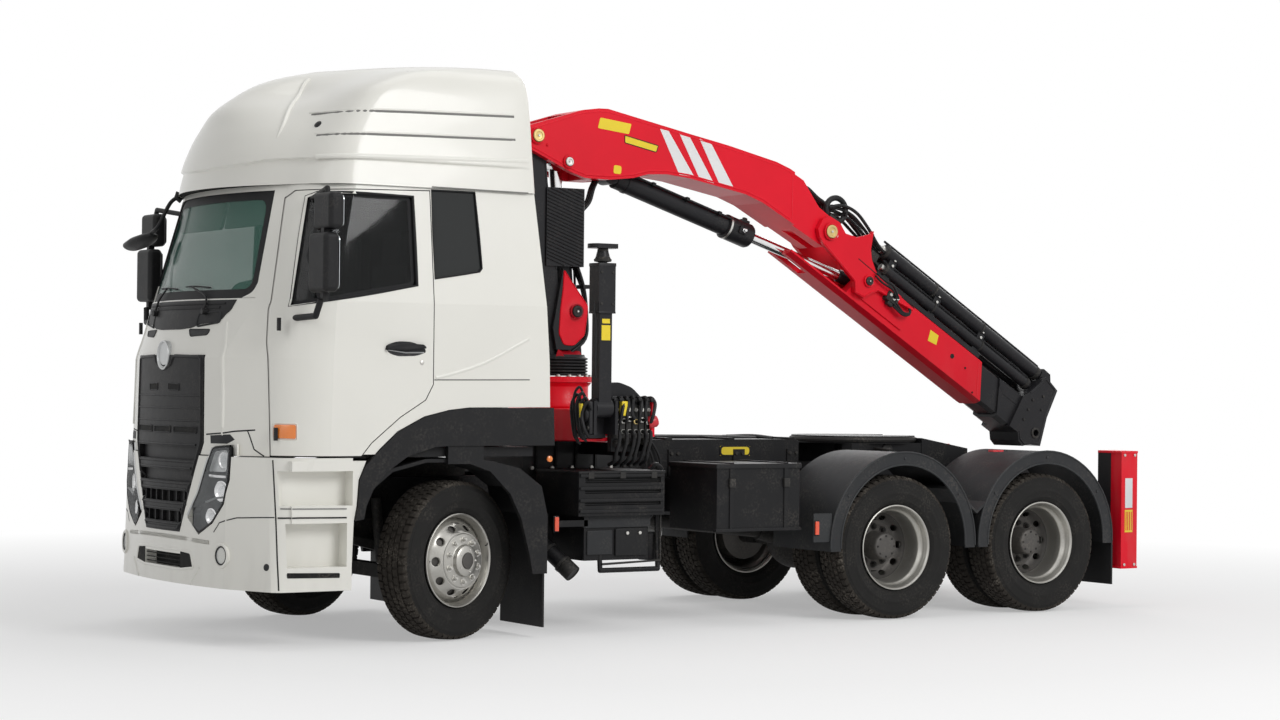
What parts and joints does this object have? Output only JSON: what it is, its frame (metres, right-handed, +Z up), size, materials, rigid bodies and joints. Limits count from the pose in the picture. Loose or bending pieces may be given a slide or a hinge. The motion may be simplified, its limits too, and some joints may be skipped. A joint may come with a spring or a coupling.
{
  "type": "knuckle boom truck crane",
  "caption": "Sleeper-cab tractor truck with a red folding crane behind the cab, its boom laid over the rear frame, stabiliser legs swung up and front wheels steered left.",
  "frame": {"origin": "Bottom centre of the outer box: on the ground, midway along and across the truck.", "axes": "+X points forward, +Y to the truck's left, +Z up. The truck's middle plane is Y = 0."},
  "size_m": [7.5445, 3.034, 3.722],
  "materials": {
    "tyre": "moulded rubber with a block tread",
    "rim": "silver painted steel wheels",
    "frame_black": "black chassis paint",
    "axle_iron": "black painted cast iron",
    "cab_white": "gloss white cab paint",
    "crane_red": "gloss red crane paint",
    "crane_black": "satin black crane paint",
    "chrome_rod": "hard chromed piston rods",
    "black_plastic": "grained black plastic",
    "grey_plastic": "dark grey moulded plastic",
    "window_glass": "green tinted glass",
    "lamp_lens": "clear lamp lenses",
    "seat_cloth": "woven seat cloth"
  },
  "bodies": {
    "truck": {"chassis_frame": "frame_black", "front_axle": "axle_iron", "rear_axles": "axle_iron", "engine": "axle_iron", "fifth_wheel": "frame_black", "cab_front": "cab_white", "cab_rear": "cab_white", "cab_sides": "cab_white", "cab_roof": "cab_white", "cab_glass": "window_glass", "cab_floor": "black_plastic", "cab_interior": "seat_cloth", "grille": "black_plastic", "headlamps": "lamp_lens", "bumper": "cab_white", "mudguards": "black_plastic", "side_equipment": "frame_black", "exhaust": "frame_black", "rear_fenders": "grey_plastic", "rear_end": "crane_red", "crane_base": "crane_red", "control_valves": "crane_black"},
    "steer_left": {"knuckle_left": "axle_iron"},
    "steer_right": {"knuckle_right": "axle_iron"},
    "wheel_front_left": {"tyre_front_left": "tyre", "rim_front_left": "rim"},
    "wheel_front_right": {"tyre_front_right": "tyre", "rim_front_right": "rim"},
    "wheel_rear1_left": {"tyre_rear1_left": "tyre", "rim_rear1_left": "rim"},
    "wheel_rear1_right": {"tyre_rear1_right": "tyre", "rim_rear1_right": "rim"},
    "wheel_rear2_left": {"tyre_rear2_left": "tyre", "rim_rear2_left": "rim"},
    "wheel_rear2_right": {"tyre_rear2_right": "tyre", "rim_rear2_right": "rim"},
    "door_left": {"door_left": "cab_white", "glass_left": "window_glass", "mirror_left": "black_plastic"},
    "door_right": {"door_right": "cab_white", "glass_right": "window_glass", "mirror_right": "black_plastic"},
    "column": {"crane_column": "crane_black"},
    "main_boom": {"main_boom": "crane_red"},
    "outer_boom": {"outer_boom": "crane_red", "extension_rams": "crane_black"},
    "extension": {"boom_extension": "crane_black"},
    "lift_barrel": {"lift_barrel": "crane_black"},
    "lift_rod": {"lift_rod": "chrome_rod"},
    "fold_barrel": {"fold_barrel": "crane_black"},
    "fold_rod": {"fold_rod": "chrome_rod"},
    "beam_left": {"beam_left": "crane_black"},
    "beam_right": {"beam_right": "crane_black"},
    "leg_left": {"leg_left": "crane_black"},
    "leg_right": {"leg_right": "crane_black"},
    "foot_left": {"foot_left": "crane_black"},
    "foot_right": {"foot_right": "crane_black"}
  },
  "joints": [
    {"name": "steering_left", "type": "hinge", "parent": "truck", "child": "steer_left", "pos_m": [2.278, 0.835, 0.515], "axis": [0, 0, 1], "range_deg": [-56, 20]},
    {"name": "steering_right", "type": "hinge", "parent": "truck", "child": "steer_right", "pos_m": [2.278, -0.835, 0.515], "axis": [0, 0, 1], "range_deg": [-56, 20]},
    {"name": "wheel_front_left_spin", "type": "hinge", "parent": "steer_left", "child": "wheel_front_left", "pos_m": [2.22392, 1.00144, 0.515], "axis": [-0.309, 0.9511, 0], "continuous": true},
    {"name": "wheel_rear1_left_spin", "type": "hinge", "parent": "truck", "child": "wheel_rear1_left", "pos_m": [-1.322, 0.924, 0.515], "axis": [0, 1, 0], "continuous": true},
    {"name": "wheel_rear2_left_spin", "type": "hinge", "parent": "truck", "child": "wheel_rear2_left", "pos_m": [-2.692, 0.924, 0.515], "axis": [0, 1, 0], "continuous": true},
    {"name": "wheel_front_right_spin", "type": "hinge", "parent": "steer_right", "child": "wheel_front_right", "pos_m": [2.33208, -1.00144, 0.515], "axis": [-0.309, 0.9511, 0], "continuous": true},
    {"name": "wheel_rear1_right_spin", "type": "hinge", "parent": "truck", "child": "wheel_rear1_right", "pos_m": [-1.322, -0.924, 0.515], "axis": [0, 1, 0], "continuous": true},
    {"name": "wheel_rear2_right_spin", "type": "hinge", "parent": "truck", "child": "wheel_rear2_right", "pos_m": [-2.692, -0.924, 0.515], "axis": [0, 1, 0], "continuous": true},
    {"name": "door_left_swing", "type": "hinge", "parent": "truck", "child": "door_left", "pos_m": [3.504, 1.03, 2], "axis": [0, 0, -1], "range_deg": [0, 70]},
    {"name": "door_right_swing", "type": "hinge", "parent": "truck", "child": "door_right", "pos_m": [3.504, -1.03, 2], "axis": [0, 0, 1], "range_deg": [0, 70]},
    {"name": "slewing", "type": "hinge", "parent": "truck", "child": "column", "pos_m": [0.788, 0, 1.7], "axis": [0, 0, 1], "range_deg": [-110, 110]},
    {"name": "boom_lift", "type": "hinge", "parent": "column", "child": "main_boom", "pos_m": [1.088, 0, 3.39], "axis": [0, 1, 0], "range_deg": [0, 90]},
    {"name": "boom_fold", "type": "hinge", "parent": "main_boom", "child": "outer_boom", "pos_m": [-1.466, 0, 2.821], "axis": [0, 1, 0], "range_deg": [0, 20]},
    {"name": "boom_extend", "type": "slide", "parent": "outer_boom", "child": "extension", "axis": [-0.8572, 0, -0.515], "range_m": [0, 0.95]},
    {"name": "lift_barrel_tilt", "type": "hinge", "parent": "column", "child": "lift_barrel", "pos_m": [0.748, 0, 2.17], "axis": [0, 1, 0], "range_deg": [-1, 3.04]},
    {"name": "lift_rod_stroke", "type": "slide", "parent": "lift_barrel", "child": "lift_rod", "axis": [0.0797, 0, 0.9968], "range_m": [0, 0.43352]},
    {"name": "fold_barrel_tilt", "type": "hinge", "parent": "main_boom", "child": "fold_barrel", "pos_m": [0.388, 0, 3.161], "axis": [0, 1, 0], "range_deg": [-1, 5.1]},
    {"name": "fold_rod_stroke", "type": "slide", "parent": "fold_barrel", "child": "fold_rod", "axis": [-0.9537, 0, -0.3008], "range_m": [0, 0.0603]},
    {"name": "beam_left_slide", "type": "slide", "parent": "truck", "child": "beam_left", "axis": [0, 1, 0], "range_m": [0, 1.4]},
    {"name": "leg_left_swing", "type": "hinge", "parent": "beam_left", "child": "leg_left", "pos_m": [1.173, 1.205, 1.5], "axis": [-1, 0, 0], "range_deg": [0, 180]},
    {"name": "leg_left_extend", "type": "slide", "parent": "leg_left", "child": "foot_left", "axis": [0, 0, 1], "range_m": [0, 0.4]},
    {"name": "beam_right_slide", "type": "slide", "parent": "truck", "child": "beam_right", "axis": [0, -1, 0], "range_m": [0, 1.4]},
    {"name": "leg_right_swing", "type": "hinge", "parent": "beam_right", "child": "leg_right", "pos_m": [0.953, -1.205, 1.5], "axis": [1, 0, 0], "range_deg": [0, 180]},
    {"name": "leg_right_extend", "type": "slide", "parent": "leg_right", "child": "foot_right", "axis": [0, 0, 1], "range_m": [0, 0.4]}
  ],
  "couplings": [
    {"joint": "steering_right", "follows": "steering_left", "ratio": 1},
    {"joint": "lift_barrel_tilt", "follows": "boom_lift", "ratio": 0.022654},
    {"joint": "lift_rod_stroke", "follows": "boom_lift", "m_per_rad": 0.27471},
    {"joint": "fold_barrel_tilt", "follows": "boom_fold", "ratio": 0.20515},
    {"joint": "fold_rod_stroke", "follows": "boom_fold", "m_per_rad": 0.16703}
  ]
}
